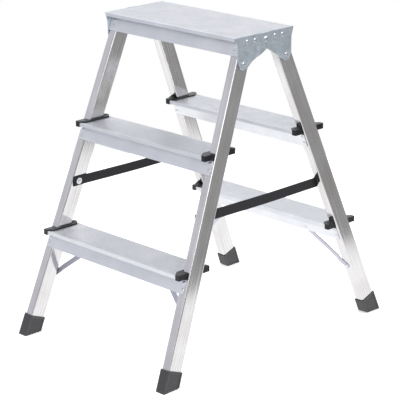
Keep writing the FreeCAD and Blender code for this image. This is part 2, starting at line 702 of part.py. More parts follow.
def make_hinge_plate(half, side):
    """Steel plate: upright at the hinge, tail bent to lie on the splayed stile. The front plate is
    joggled outwards so that its eye laps over the rear plate's eye."""
    label = f"{half}_{side}_hinge_plate"
    way = SIDES[side]
    toward = HALVES[half]
    plane = sheet_plane()
    body = new_body(f"{label}_sheet")
    step = "(plate_thickness + plate_gap)" if half == "front" else "0"
    flat = f"({plane})"
    # A sheet's outer face bends a little further on than its inner face.
    bend_start = "(hinge_eye + joggle_start + plate_thickness / 2)"
    bend_end = "(hinge_eye + joggle_start + joggle_run + plate_thickness / 2)"
    far = "(seam_gap / 2 + 2 * tread_depth)"
    inwards = "(-2 * hinge_eye)"
    upright = [
        (f"{way} * {flat}", f"{toward} * {far}"),
        (f"{way} * {flat}", f"{toward} * (hinge_eye + joggle_start + joggle_run)"),
        (f"{way} * ({flat} + {step})", f"{toward} * (hinge_eye + joggle_start)"),
        (f"{way} * ({flat} + {step})", f"{toward} * {inwards}"),
        (f"{way} * ({flat} + {step} + plate_thickness)", f"{toward} * {inwards}"),
        (f"{way} * ({flat} + {step} + plate_thickness)", f"{toward} * {bend_start}"),
        (f"{way} * ({flat} + plate_thickness)", f"{toward} * {bend_end}"),
        (f"{way} * ({flat} + plate_thickness)", f"{toward} * {far}"),
    ]
    if half == "rear":
        upright = [upright[0], upright[3], upright[4], upright[7]]
    bend = "(platform_height - plate_bend)"
    upper = outline(body, "upright_section", "XY_Plane", [upright], lift=bend)
    pad(body, "upright", upper, "plate_bend")
    run = "(1.5 * (plate_tail - plate_bend))"
    lean = f"({run} * tan(splay) / cos(half_tilt))"
    tail_corners = [
        (f"{way} * {flat}", bend),
        (f"{way} * ({flat} + plate_thickness)", bend),
        (f"{way} * ({flat} + plate_thickness + {lean})", f"{bend} - {run}"),
        (f"{way} * ({flat} + {lean})", f"{bend} - {run}"),
    ]
    tail = outline(body, "tail_section", "XZ_Plane", [tail_corners])
    pad(body, "tail", tail, far, backwards=(half == "rear"))
    frame_loop = [
        (f"-2 * {far}", "platform_height + plate_tail"),
        (f"2 * {far}", "platform_height + plate_tail"),
        (f"2 * {far}", "platform_height - 3 * plate_tail"),
        (f"-2 * {far}", "platform_height - 3 * plate_tail"),
    ]
    trim = outline(body, "trim", "YZ_Plane", [frame_loop, plate_edge(toward, f"{half}_notch")])
    pocket(body, "trimmed", trim, f"4 * {outer_x('0')}", both_ways=True)
    tools = drills(f"{label}_hole", "rivet_shank", "4 * rivet_grip", hinge_rivet_places(half, side))
    loose = " + pivot_clearance" if half == "rear" else ""
    centre = Vector(way * value(plane), 0, value("platform_height - pivot_drop"))
    across = Placement(centre, Rotation(Vector(0, 0, 1), Vector(1, 0, 0)))
    tools += drills(f"{label}_bore", f"pivot_radius{loose}", "10 * plate_thickness", [across])
    cut(label, body, tools)


def dome(radius, height):
    """Outline of a domed head from its apex to its rim, as a quarter ellipse."""
    points = []
    for step in range(DOME_STEPS + 1):
        angle = 90 * step / DOME_STEPS
        points.append((f"{radius} * sin({angle})", f"{height} * cos({angle})"))
    points[0] = ("0", height)
    points[-1] = (radius, "0")
    return points


def make_pivot_rivet(side):
    """Hinge rivet: domed outer head, shank through both plates, flat inner head."""
    label = f"{side}_pivot_rivet"
    body = new_body(f"{label}_turned")
    grip = "(2 * plate_thickness + plate_gap + washer_thickness + 2 * washer_play)"
    corners = dome("pivot_head", "pivot_dome") + [
        ("pivot_radius", "0"),
        ("pivot_radius", f"-{grip}"),
        ("pivot_foot", f"-{grip}"),
        ("pivot_foot", f"-{grip} - pivot_end"),
        ("0", f"-{grip} - pivot_end"),
    ]
    half_section = outline(body, "half_section", "XZ_Plane", [corners])
    turned = body.newObject("PartDesign::Revolution", "turned")
    turned.Profile = half_section
    turned.ReferenceAxis = (half_section, ["V_Axis"])
    turned.Angle = 360
    body.Tip = turned
    body.Placement = pivot_place(side, "2 * plate_thickness + plate_gap")
    keep(label, body)


def pivot_place(side, lift):
    """On the hinge axis, Z outwards, a lift outside the inner face of the hinge plates."""
    way = SIDES[side]
    plane = value(f"{sheet_plane()} + {lift}")
    spot = Vector(way * plane, 0, value("platform_height - pivot_drop"))
    return Placement(spot, Rotation(Vector(0, 0, 1), Vector(way, 0, 0)))


def make_rings(label, radius, hole, thickness, places):
    """A group of washers."""
    rings = []
    for index, place in enumerate(places):
        disc = doc.addObject("Part::Cylinder", f"{label}_disc_{index}")
        disc.setExpression("Radius", bound(radius))
        disc.setExpression("Height", bound(thickness))
        disc.Placement = place
        bore = drills(f"{label}_bore_{index}", hole, "10 * washer_thickness", [place])[0]
        ring = doc.addObject("Part::Cut", f"{label}_ring_{index}")
        ring.Base = disc
        ring.Tool = bore
        rings.append(ring)
    group = doc.addObject("Part::Compound", f"{label}_group")
    group.Links = rings
    keep(label, group)


def make_rivets(label, places, grip="rivet_grip"):
    """A group of domed rivets; each stands on its place with the shank going in."""
    master = new_body(f"{label}_master")
    corners = dome("rivet_head", "rivet_dome") + [
        ("rivet_shank", "0"),
        ("rivet_shank", f"-({grip})"),
        ("0", f"-({grip})"),
    ]
    half_section = outline(master, "half_section", "XZ_Plane", [corners])
    turned = master.newObject("PartDesign::Revolution", "turned")
    turned.Profile = half_section
    turned.ReferenceAxis = (half_section, ["V_Axis"])
    turned.Angle = 360
    master.Tip = turned
    doc.recompute()
    copies = []
    for index, place in enumerate(places):
        copy = doc.addObject("App::Link", f"{label}_{index}")
        copy.LinkedObject = master
        copy.LinkPlacement = place
        copies.append(copy)
    group = doc.addObject("Part::Compound", f"{label}_group")
    group.Links = copies
    keep(label, group)


def make_brace(half, side):
    """Flat strip from inside the lower tread's skirt, joggled out onto the stile's inward face."""
    label = f"{half}_{side}_brace"
    upper, lower = brace_ends(half, side)
    length = math.hypot(lower.x - upper.x, lower.z - upper.z)
    body = new_body(f"{label}_strip")
    end = "brace_width / 2"
    # Side view: X runs from the upper to the lower rivet, Y out of the stile's inward face.
    profile_corners = [
        (f"-{end}", "-brace_thickness"),
        (f"{length} - joggle_far", "-brace_thickness"),
        (f"{length} - joggle_near", "0"),
        (f"{length} + {end}", "0"),
        (f"{length} + {end}", "brace_thickness"),
        (f"{length} - joggle_near", "brace_thickness"),
        (f"{length} - joggle_far", "0"),
        (f"-{end}", "0"),
    ]
    profile = outline(body, "profile", "XY_Plane", [profile_corners])
    pad(body, "strip", profile, "brace_width", both_ways=True)

    def end_corner(edge):
        if not runs_along(edge, Vector(0, 1, 0)):
            return False
        middle = edge.CenterOfMass.x
        return middle < 0 or middle > length

    fillet(body, "round_ends", "brace_width * 0.4", end_corner)
    along = (lower - upper)
    along.y = 0
    along.normalize()
    rotation = Rotation(along, Vector(0, 1, 0), along.cross(Vector(0, 1, 0)), "XYZ")
    body.Placement = half_frame(half).multiply(Placement(upper, rotation))
    places = brace_rivet_places(half, side)
    cut(label, body, drills(f"{label}_hole", "rivet_shank", "4 * rivet_grip", places))


def make_strap(side):
    """Flat webbing from the front stile to the rear stile, taut when the ladder stands open."""
    label = f"{side}_strap"
    way = SIDES[side]
    body = new_body(f"{label}_webbing")
    section = rectangle("strap_thickness / 2", "strap_width / 2")
    profile = outline(body, "section", "XZ_Plane", [section])
    centre = f"({CENTRE_OFFSET} + strap_drop * tan(half_tilt))"
    pad(body, "webbing", profile, f"2 * ({centre} + strap_end)", both_ways=True)
    across = value(f"{inner_x(STRAP_HEIGHT)} - strap_clearance - strap_thickness / 2")
    lean = Rotation(Vector(0, 1, 0), -way * value("splay"))
    body.Placement = Placement(Vector(way * across, 0, value(STRAP_HEIGHT)), lean)
    places = [strap_rivet_place(half, side, 0) for half in HALVES]
    cut(label, body, drills(f"{label}_hole", "rivet_shank", "4 * rivet_grip", places))


def build():
    fill_sheet()
    for half in HALVES:
        for side in SIDES:
            make_stile(half, side)
            make_foot(half, side)
            make_hinge_plate(half, side)
            make_brace(half, side)
        for level in TREAD_HEIGHTS:
            make_tread(half, level)
        for level in ("middle", "lower"):
            for side in SIDES:
                make_cap(half, level, side)
        tread_rivets = []
        for height in TREAD_HEIGHTS.values():
            for face in (-1, 1):
                tread_rivets += tread_rivet_places(half, height, face)
        make_rivets(f"{half}_step_rivets", tread_rivets)
        hinge_rivets = [place for side in SIDES for place in hinge_rivet_places(half, side)]
        make_rivets(f"{half}_hinge_rivets", hinge_rivets, "long_grip")
        brace_rivets = [place for side in SIDES for place in brace_rivet_places(half, side)]
        make_rivets(f"{half}_brace_rivets", brace_rivets)
        strap_outer = value("strap_clearance + strap_thickness + strap_play")
        washers = [strap_rivet_place(half, side, strap_outer) for side in SIDES]
        make_rings(f"{half}_strap_washers", "washer_radius", "rivet_shank", "washer_thickness", washers)
        lift = strap_outer + value("washer_thickness")
        strap_rivets = [strap_rivet_place(half, side, lift) for side in SIDES]
        make_rivets(f"{half}_strap_rivets", strap_rivets, "long_grip")
    for side in SIDES:
        make_strap(side)
        make_pivot_rivet(side)
    washers = [pivot_place(side, "(-washer_thickness - washer_play)") for side in SIDES]
    make_rings("pivot_washers", "pivot_foot", "pivot_radius", "washer_thickness", washers)


def check_and_write():
    """Every feature solved, every sub-part a valid shape, then one file for each node."""
    doc.removeObject(workings.Name)
    doc.recompute()
    for item in doc.Objects:
        if "Invalid" in item.State or "Error" in item.State:
            raise RuntimeError(f"{item.Name} ({item.Label}) failed: {item.State}")
    os.makedirs("parts", exist_ok=True)
    for label, item in nodes.items():
        shape = item.Shape
        if shape.isNull() or not shape.isValid() or not shape.Solids:
            raise RuntimeError(f"{label} has no valid shape")
        shape.exportStep(f"parts/{label}.step")
    print(len(nodes), "nodes written")


build()
check_and_write()
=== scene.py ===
# %% [markdown]
# # A folding step ladder
# This lesson dresses a double-sided aluminium step ladder. What is left to make is what a
# drawing lacks: the finish of every metal and plastic, the two woven straps, and the light of a
# small studio.

# %% The frame, and the box it fills
import json
import math

import bmesh
import bpy
from mathutils import Matrix, Vector


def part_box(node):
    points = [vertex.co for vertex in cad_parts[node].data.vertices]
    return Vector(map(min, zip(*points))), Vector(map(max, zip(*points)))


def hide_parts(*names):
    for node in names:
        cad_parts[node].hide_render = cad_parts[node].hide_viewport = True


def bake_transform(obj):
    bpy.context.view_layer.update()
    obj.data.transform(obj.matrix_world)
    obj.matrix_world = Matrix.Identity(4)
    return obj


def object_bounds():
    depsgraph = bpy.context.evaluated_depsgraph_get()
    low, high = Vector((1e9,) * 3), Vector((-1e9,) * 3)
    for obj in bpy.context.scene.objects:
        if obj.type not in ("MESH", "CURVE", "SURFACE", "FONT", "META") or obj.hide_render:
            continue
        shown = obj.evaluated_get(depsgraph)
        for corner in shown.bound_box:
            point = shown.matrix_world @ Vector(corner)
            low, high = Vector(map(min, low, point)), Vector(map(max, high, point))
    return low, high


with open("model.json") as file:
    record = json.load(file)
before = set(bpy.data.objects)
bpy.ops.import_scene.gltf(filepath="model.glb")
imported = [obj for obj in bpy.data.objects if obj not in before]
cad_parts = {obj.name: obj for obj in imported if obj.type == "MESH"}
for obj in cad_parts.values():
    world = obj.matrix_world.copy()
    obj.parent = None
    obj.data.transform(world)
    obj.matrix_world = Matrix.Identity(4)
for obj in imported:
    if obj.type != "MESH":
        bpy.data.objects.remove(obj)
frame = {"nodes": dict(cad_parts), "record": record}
cad_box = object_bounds()
MM = 0.001

# %% [markdown]
# ## The camera
# The ladder is seen from its front right corner and a little from above, through a long lens, so
# that the treads stay nearly parallel. A camera can be aimed with a constraint, but writing its
# three axes out keeps the slight roll of a tripod that was not quite level.

# %% A long lens at the front right corner
CAMERA_PLACE = Vector((2.6256, -2.5041, 1.4473))
YAW, PITCH, ROLL = 0.8090, 0.3090, -0.0154
LENS_MM = 153.5
SENSOR_MM = 36

ahead = Vector((-math.sin(YAW) * math.cos(PITCH), math.cos(YAW) * math.cos(PITCH), -math.sin(PITCH)))
level = Vector((math.cos(YAW), math.sin(YAW), 0))
upright = level.cross(ahead)
across = level * math.cos(ROLL) + upright * math.sin(ROLL)
upwards = upright * math.cos(ROLL) - level * math.sin(ROLL)

lens = bpy.data.cameras.new("studio_lens")
lens.lens = LENS_MM
lens.sensor_width = SENSOR_MM
camera = bpy.data.objects.new("studio_camera", lens)
bpy.context.scene.collection.objects.link(camera)
axes = Matrix((across, upwards, -ahead)).transposed().to_4x4()
camera.matrix_world = Matrix.Translation(CAMERA_PLACE) @ axes
bpy.context.scene.camera = camera
print("camera:", round(CAMERA_PLACE.length, 2), "m from the ladder's foot")

# %% [markdown]
# ## Colours and nodes
# Paint charts give colours as sRGB hex values, while the renderer adds up light, which needs
# linear numbers. One function turns the first into the second. A second function adds one node
# to a recipe with its settings and its links, so that a recipe reads from top to bottom.


# %% One function for colour, one for nodes
def linear(hex_colour):
    """#rrggbb as the linear colour that the renderer works in."""
    parts = [int(hex_colour[place:place + 2], 16) / 255 for place in (1, 3, 5)]
    curve = [part / 12.92 if part <= 0.04045 else ((part + 0.055) / 1.055) ** 2.4 for part in parts]
    return (*curve, 1.0)


def add(tree, kind, inputs=None, stops=None, **settings):
    """One node: inputs take values or other nodes' outputs, stops are a ramp's, the rest settings."""
    node = tree.nodes.new(kind)
    for name, setting in settings.items():
        setattr(node, name, setting)
    for socket, given in (inputs or {}).items():
        if isinstance(given, bpy.types.NodeSocket):
            tree.links.new(given, node.inputs[socket])
        else:
            node.inputs[socket].default_value = given
    for index, (position, colour) in enumerate(stops or []):
        if index >= 2:
            node.color_ramp.elements.new(position)
        node.color_ramp.elements[index].position = position
        node.color_ramp.elements[index].color = colour
    return node


def new_finish(name, **on_shader):
    """An empty recipe: the material, its tree, its shader and the piece's own coordinates."""
    material = bpy.data.materials.new(name)
    material.use_nodes = True
    tree = material.node_tree
    tree.nodes.clear()
    shader = add(tree, "ShaderNodeBsdfPrincipled", on_shader)
    add(tree, "ShaderNodeOutputMaterial", {"Surface": shader.outputs["BSDF"]})
    place = add(tree, "ShaderNodeTexCoord").outputs["Object"]
    return material, tree, shader, place


def per_mm(size_mm):
    """The texture scale at which one cell of a pattern is this many millimetres."""
    return 1 / (size_mm * MM)


print("mid grey #808080 is", round(linear("#808080")[0], 3), "in linear light")

# %% [markdown]
# ## Anodised aluminium tube
# The stiles are extruded aluminium tube with a thin clear anodised skin. The die leaves hair-fine
# lines along the tube, and the skin keeps it glossy, so the tube mirrors the room, a little
# blurred. The lines run along each stile, and the four stiles lean four ways. Taking the absolute
# value of the coordinates folds all four onto one, and a rotation then lays its length on Z, which
# is simpler than one material for each stile.

# %% The anodised tube
# How far a stile leans, front to back and sideways.
STILE_TILT = math.radians(21.6)
STILE_SPLAY = math.radians(3.1)

tube_finish, tree, shader, place = new_finish("anodised_tube", Metallic=1.0)
folded = add(tree, "ShaderNodeVectorMath", {0: place}, operation="ABSOLUTE").outputs["Vector"]
along = add(tree, "ShaderNodeMapping", {"Vector": folded, "Rotation": (-STILE_TILT, STILE_SPLAY, 0)})
# Die lines really lie some tenths of a millimetre apart; 1.4 mm is as fine as the render shows.
fine = add(
    tree, "ShaderNodeMapping",
    {"Vector": along.outputs["Vector"], "Scale": (per_mm(1.4), per_mm(1.4), per_mm(350))},
)
lines = add(
    tree, "ShaderNodeTexNoise",
    {"Vector": fine.outputs["Vector"], "Scale": 1.0, "Detail": 3.0, "Roughness": 0.55},
)
# Handling and storage leave cloudy patches a hand's width across.
clouds = add(tree, "ShaderNodeTexNoise", {"Vector": place, "Scale": per_mm(70), "Detail": 4.0})
streaked = add(
    tree, "ShaderNodeValToRGB", {"Fac": lines.outputs["Fac"]},
    stops=[(0.35, linear("#dbd9d8")), (0.65, linear("#efeeee"))],
)
clouded = add(
    tree, "ShaderNodeValToRGB", {"Fac": clouds.outputs["Fac"]},
    stops=[(0.35, linear("#f2f1f0")), (0.65, linear("#ffffff"))],
)
colour = add(
    tree, "ShaderNodeMix", {0: 1.0, 6: streaked.outputs["Color"], 7: clouded.outputs["Color"]},
    data_type="RGBA", blend_type="MULTIPLY",
)
# Painted shade: the tube is darkened where other pieces meet it and enclose it.
corner = add(tree, "ShaderNodeAmbientOcclusion", {"Distance": 9 * MM}, samples=8)
painted_shade = add(
    tree, "ShaderNodeValToRGB", {"Fac": corner.outputs["AO"]},
    stops=[(0.3, linear("#8d8a88")), (0.8, linear("#ffffff"))],
)
shaded_colour = add(
    tree, "ShaderNodeMix", {0: 1.0, 6: colour.outputs[2], 7: painted_shade.outputs["Color"]},
    data_type="RGBA", blend_type="MULTIPLY",
)
tree.links.new(shaded_colour.outputs[2], shader.inputs["Base Color"])
gloss = add(
    tree, "ShaderNodeMapRange",
    {"Value": lines.outputs["Fac"], "From Min": 0.3, "From Max": 0.7, "To Min": 0.11, "To Max": 0.19},
)
tree.links.new(gloss.outputs["Result"], shader.inputs["Roughness"])
# The die also leaves the faces very slightly wavy, in bands some 5 mm wide.
broad = add(
    tree, "ShaderNodeMapping",
    {"Vector": along.outputs["Vector"], "Scale": (per_mm(5), per_mm(5), per_mm(600))},
)
bands = add(tree, "ShaderNodeTexNoise", {"Vector": broad.outputs["Vector"], "Scale": 1.0, "Detail": 1.0})
wavy = add(
    tree, "ShaderNodeBump", {"Height": bands.outputs["Fac"], "Strength": 0.4, "Distance": 0.2 * MM},
)
relief = add(
    tree, "ShaderNodeBump",
    {
        "Height": lines.outputs["Fac"], "Strength": 0.12, "Distance": 0.05 * MM,
        "Normal": wavy.outputs["Normal"],
    },
)
tree.links.new(relief.outputs["Normal"], shader.inputs["Normal"])
print("finish:", tube_finish.name)

# %% [markdown]
# ## Mill-finish treads
# The treads are cut from one aluminium extrusion with anti-slip grooves. It is left as it came
# from the mill and tumbled to a satin, so it is whiter and duller than the tubes. Its die lines
# run along the tread, which is X, so the coordinates are only stretched; as on the tubes they are
# drawn coarser than they are, so that they show. The Bevel node rounds the sharp edges of the
# model by half a millimetre in the shading, where real ones catch light.

# %% The satin tread
tread_finish, tree, shader, place = new_finish("satin_tread", Metallic=1.0)
fine = add(tree, "ShaderNodeMapping", {"Vector": place, "Scale": (per_mm(400), per_mm(1.2), per_mm(1.2))})
lines = add(
    tree, "ShaderNodeTexNoise",
    {"Vector": fine.outputs["Vector"], "Scale": 1.0, "Detail": 4.0, "Roughness": 0.6},
)
clouds = add(tree, "ShaderNodeTexNoise", {"Vector": place, "Scale": per_mm(45), "Detail": 5.0})
streaked = add(
    tree, "ShaderNodeValToRGB", {"Fac": lines.outputs["Fac"]},
    stops=[(0.3, linear("#e9ebee")), (0.7, linear("#f5f6f8"))],
)
clouded = add(
    tree, "ShaderNodeValToRGB", {"Fac": clouds.outputs["Fac"]},
    stops=[(0.3, linear("#f3f4f5")), (0.7, linear("#ffffff"))],
)
colour = add(
    tree, "ShaderNodeMix", {0: 1.0, 6: streaked.outputs["Color"], 7: clouded.outputs["Color"]},
    data_type="RGBA", blend_type="MULTIPLY",
)
# Painted shade: the grooves, the seam and the skirts under the lips are darkened where they are enclosed.
corner = add(tree, "ShaderNodeAmbientOcclusion", {"Distance": 14 * MM}, samples=8)
painted_shade = add(
    tree, "ShaderNodeValToRGB", {"Fac": corner.outputs["AO"]},
    stops=[(0.2, linear("#5f6578")), (0.5, linear("#ffffff"))],
)
shaded_colour = add(
    tree, "ShaderNodeMix", {0: 1.0, 6: colour.outputs[2], 7: painted_shade.outputs["Color"]},
    data_type="RGBA", blend_type="MULTIPLY",
)
tree.links.new(shaded_colour.outputs[2], shader.inputs["Base Color"])
gloss = add(
    tree, "ShaderNodeMapRange",
    {"Value": lines.outputs["Fac"], "From Min": 0.3, "From Max": 0.7, "To Min": 0.4, "To Max": 0.48},
)
tree.links.new(gloss.outputs["Result"], shader.inputs["Roughness"])
rounded = add(tree, "ShaderNodeBevel", {"Radius": 0.5 * MM}, samples=4)
relief = add(
    tree, "ShaderNodeBump",
    {
        "Height": lines.outputs["Fac"], "Strength": 0.1, "Distance": 0.05 * MM,
        "Normal": rounded.outputs["Normal"],
    },
)
tree.links.new(relief.outputs["Normal"], shader.inputs["Normal"])
print("finish:", tread_finish.name)

# %% [markdown]
# ## Galvanised sheet
# The hinge plates are steel sheet dipped in zinc. Zinc freezes in flat crystals, the spangle,
# each of which reflects a little differently. A Voronoi pattern gives exactly such
# cells: its random colour per cell sets both the tone and the gloss.

# %% The galvanised sheet
CRYSTAL_WANDER = 2.5 * MM

zinc_finish, tree, shader, place = new_finish("galvanised_sheet", Metallic=1.0)
# Noise bends the cell walls, because crystals do not meet in straight lines.
bent = add(tree, "ShaderNodeTexNoise", {"Vector": place, "Scale": per_mm(5), "Detail": 2.0})
moved = add(
    tree, "ShaderNodeMix", {0: CRYSTAL_WANDER, 6: place, 7: bent.outputs["Color"]},
    data_type="RGBA", blend_type="ADD",
)
cells = add(tree, "ShaderNodeTexVoronoi", {"Vector": moved.outputs[2], "Scale": per_mm(3.5)})
tone = add(tree, "ShaderNodeSeparateColor", {"Color": cells.outputs["Color"]}).outputs["Red"]
spangle = add(
    tree, "ShaderNodeValToRGB", {"Fac": tone},
    stops=[(0.0, linear("#cbd7e0")), (1.0, linear("#d9e2e9"))],
)
tree.links.new(spangle.outputs["Color"], shader.inputs["Base Color"])
gloss = add(tree, "ShaderNodeMapRange", {"Value": tone, "To Min": 0.36, "To Max": 0.5})
tree.links.new(gloss.outputs["Result"], shader.inputs["Roughness"])
rounded = add(tree, "ShaderNodeBevel", {"Radius": 0.5 * MM}, samples=4)
relief = add(
    tree, "ShaderNodeBump",
    {"Height": tone, "Strength": 0.05, "Distance": 0.05 * MM, "Normal": rounded.outputs["Normal"]},
)
tree.links.new(relief.outputs["Normal"], shader.inputs["Normal"])
print("finish:", zinc_finish.name)

# %% [markdown]
# ## Plated strip
# The diagonal braces are narrow cold-rolled strip, zinc-plated in a bath with a clear chromate.
# Plating grows evenly, without spangle, and stays a little matt; only the rolling lines show.

# %% The plated strip
strip_finish, tree, shader, place = new_finish("plated_steel_strip", Metallic=1.0)
rolling = add(tree, "ShaderNodeTexNoise", {"Vector": place, "Scale": per_mm(2), "Detail": 3.0})
chromate = add(
    tree, "ShaderNodeValToRGB", {"Fac": rolling.outputs["Fac"]},
    stops=[(0.3, linear("#c4c3d0")), (0.7, linear("#d2d1da"))],
)
tree.links.new(chromate.outputs["Color"], shader.inputs["Base Color"])
gloss = add(
    tree, "ShaderNodeMapRange",
    {"Value": rolling.outputs["Fac"], "From Min": 0.3, "From Max": 0.7, "To Min": 0.35, "To Max": 0.48},
)
tree.links.new(gloss.outputs["Result"], shader.inputs["Roughness"])
rounded = add(tree, "ShaderNodeBevel", {"Radius": 0.5 * MM}, samples=4)
relief = add(
    tree, "ShaderNodeBump",
    {
        "Height": rolling.outputs["Fac"], "Strength": 0.1, "Distance": 0.05 * MM,
        "Normal": rounded.outputs["Normal"],
    },
)
tree.links.new(relief.outputs["Normal"], shader.inputs["Normal"])
print("finish:", strip_finish.name)

# %% [markdown]
# ## Rivets and washers
# Blind rivets and washers are zinc-plated steel, pressed and then tumbled bright. They are small,
# so their finish is one bright metal with a slightly uneven gloss, like many tiny dents.

# %% The plated rivets
rivet_finish, tree, shader, place = new_finish("plated_rivets", Metallic=1.0)
dents = add(tree, "ShaderNodeTexNoise", {"Vector": place, "Scale": per_mm(1.5), "Detail": 2.0})
plated = add(
    tree, "ShaderNodeValToRGB", {"Fac": dents.outputs["Fac"]},
    stops=[(0.3, linear("#d6d9de")), (0.7, linear("#eceef1"))],
)
tree.links.new(plated.outputs["Color"], shader.inputs["Base Color"])
gloss = add(
    tree, "ShaderNodeMapRange",
    {"Value": dents.outputs["Fac"], "From Min": 0.3, "From Max": 0.7, "To Min": 0.2, "To Max": 0.32},
)
tree.links.new(gloss.outputs["Result"], shader.inputs["Roughness"])
relief = add(
    tree, "ShaderNodeBump", {"Height": dents.outputs["Fac"], "Strength": 0.2, "Distance": 0.1 * MM},
)
tree.links.new(relief.outputs["Normal"], shader.inputs["Normal"])
print("finish:", rivet_finish.name)

# %% [markdown]
# ## Moulded plastics
# The tread caps are black polypropylene and the shoes a dark grey soft PVC. Both come from
# spark-eroded moulds, which print a fine grain on them: the caps are glossier, the shoes duller
# and scuffed where they meet the floor. Plastic is not metallic: its gloss is the shader's plain
# surface reflection, at an index of refraction of 1.49 for the caps and 1.53 for the shoes.

# %% The black caps
cap_finish, tree, shader, place = new_finish("black_polypropylene", IOR=1.49)
grain = add(tree, "ShaderNodeTexNoise", {"Vector": place, "Scale": per_mm(0.8), "Detail": 2.0})
black = add(
    tree, "ShaderNodeValToRGB", {"Fac": grain.outputs["Fac"]},
    stops=[(0.3, linear("#08090c")), (0.7, linear("#101116"))],
)
# Painted highlight: where the Bevel node turns the surface, the edge is painted a little paler.
rounded = add(tree, "ShaderNodeBevel", {"Radius": 1.4 * MM}, samples=4)
flat = add(tree, "ShaderNodeNewGeometry").outputs["Normal"]
turned = add(
    tree, "ShaderNodeVectorMath", {0: rounded.outputs["Normal"], 1: flat},
    operation="DOT_PRODUCT",
).outputs["Value"]
edge = add(
    tree, "ShaderNodeMapRange", {"Value": turned, "From Min": 0.99, "From Max": 0.85, "To Max": 0.6},
)
wear_and_highlight = add(
    tree, "ShaderNodeMix", {0: edge.outputs["Result"], 6: black.outputs["Color"], 7: linear("#565963")},
    data_type="RGBA",
)
tree.links.new(wear_and_highlight.outputs[2], shader.inputs["Base Color"])
gloss = add(
    tree, "ShaderNodeMapRange",
    {"Value": grain.outputs["Fac"], "From Min": 0.3, "From Max": 0.7, "To Min": 0.3, "To Max": 0.42},
)
tree.links.new(gloss.outputs["Result"], shader.inputs["Roughness"])
relief = add(
    tree, "ShaderNodeBump",
    {
        "Height": grain.outputs["Fac"], "Strength": 0.25, "Distance": 0.1 * MM,
        "Normal": rounded.outputs["Normal"],
    },
)
tree.links.new(relief.outputs["Normal"], shader.inputs["Normal"])
print("finish:", cap_finish.name)

# %% The grey shoes
shoe_finish, tree, shader, place = new_finish("grey_soft_pvc", IOR=1.53)
grain = add(tree, "ShaderNodeTexNoise", {"Vector": place, "Scale": per_mm(1.0), "Detail": 3.0})
moulded = add(
    tree, "ShaderNodeValToRGB", {"Fac": grain.outputs["Fac"]},
    stops=[(0.3, linear("#323233")), (0.7, linear("#3f3f40"))],
)
# The last few millimetres above the floor are rubbed paler.
height = add(tree, "ShaderNodeSeparateXYZ", {"Vector": place}).outputs["Z"]
wear_and_highlight = add(
    tree, "ShaderNodeMapRange",
    {"Value": height, "From Min": 0.0, "From Max": 5 * MM, "To Min": 0.35, "To Max": 0.0},
)
worn = add(
    tree, "ShaderNodeMix",
    {0: wear_and_highlight.outputs["Result"], 6: moulded.outputs["Color"], 7: linear("#5b5a58")},
    data_type="RGBA",
)
# Painted highlight: where the Bevel node turns the surface, the edge is painted paler.
rounded = add(tree, "ShaderNodeBevel", {"Radius": 1.8 * MM}, samples=4)
flat = add(tree, "ShaderNodeNewGeometry").outputs["Normal"]
turned = add(
    tree, "ShaderNodeVectorMath", {0: rounded.outputs["Normal"], 1: flat},
    operation="DOT_PRODUCT",
).outputs["Value"]
edge = add(
    tree, "ShaderNodeMapRange", {"Value": turned, "From Min": 0.99, "From Max": 0.85, "To Max": 0.8},
)
edge_highlighted = add(
    tree, "ShaderNodeMix", {0: edge.outputs["Result"], 6: worn.outputs[2], 7: linear("#8c8c8c")},
    data_type="RGBA",
)
# Painted shade: the frame around the recessed panel and other enclosed places are darkened.
corner = add(tree, "ShaderNodeAmbientOcclusion", {"Distance": 6 * MM}, samples=8)
painted_shade = add(
    tree, "ShaderNodeValToRGB", {"Fac": corner.outputs["AO"]},
    stops=[(0.5, linear("#5c5c5c")), (0.95, linear("#ffffff"))],
)
shaded_colour = add(
    tree, "ShaderNodeMix", {0: 1.0, 6: edge_highlighted.outputs[2], 7: painted_shade.outputs["Color"]},
    data_type="RGBA", blend_type="MULTIPLY",
)
tree.links.new(shaded_colour.outputs[2], shader.inputs["Base Color"])
gloss = add(
    tree, "ShaderNodeMapRange",
    {"Value": grain.outputs["Fac"], "From Min": 0.3, "From Max": 0.7, "To Min": 0.38, "To Max": 0.5},
)
tree.links.new(gloss.outputs["Result"], shader.inputs["Roughness"])
relief = add(
    tree, "ShaderNodeBump",
    {
        "Height": grain.outputs["Fac"], "Strength": 0.3, "Distance": 0.12 * MM,
        "Normal": rounded.outputs["Normal"],
    },
)
tree.links.new(relief.outputs["Normal"], shader.inputs["Normal"])
print("finish:", shoe_finish.name)

# %% [markdown]
# ## Woven polyester webbing
# The spreader straps are flat polyester webbing. Its warp yarns run lengthwise in ribs, and the
# weft shows as small steps across them. Two sets of waves, one across the strap and one along it,
# give that relief; where they meet, the height makes the little blocks of a plain weave.

# %% The webbing
RIB_MM = 1.8
STEP_MM = 1.4
STEP_SHARE = 0.45

webbing_finish, tree, shader, place = new_finish("black_webbing", Roughness=0.75)
shader.inputs["Sheen Weight"].default_value = 0.15
shader.inputs["Sheen Roughness"].default_value = 0.5
axis = add(tree, "ShaderNodeSeparateXYZ", {"Vector": place})
rib_turns = add(
    tree, "ShaderNodeMath", {0: axis.outputs["Z"], 1: 2 * math.pi * per_mm(RIB_MM)},
    operation="MULTIPLY",
)
step_turns = add(
    tree, "ShaderNodeMath", {0: axis.outputs["Y"], 1: 2 * math.pi * per_mm(STEP_MM)},
    operation="MULTIPLY",
)
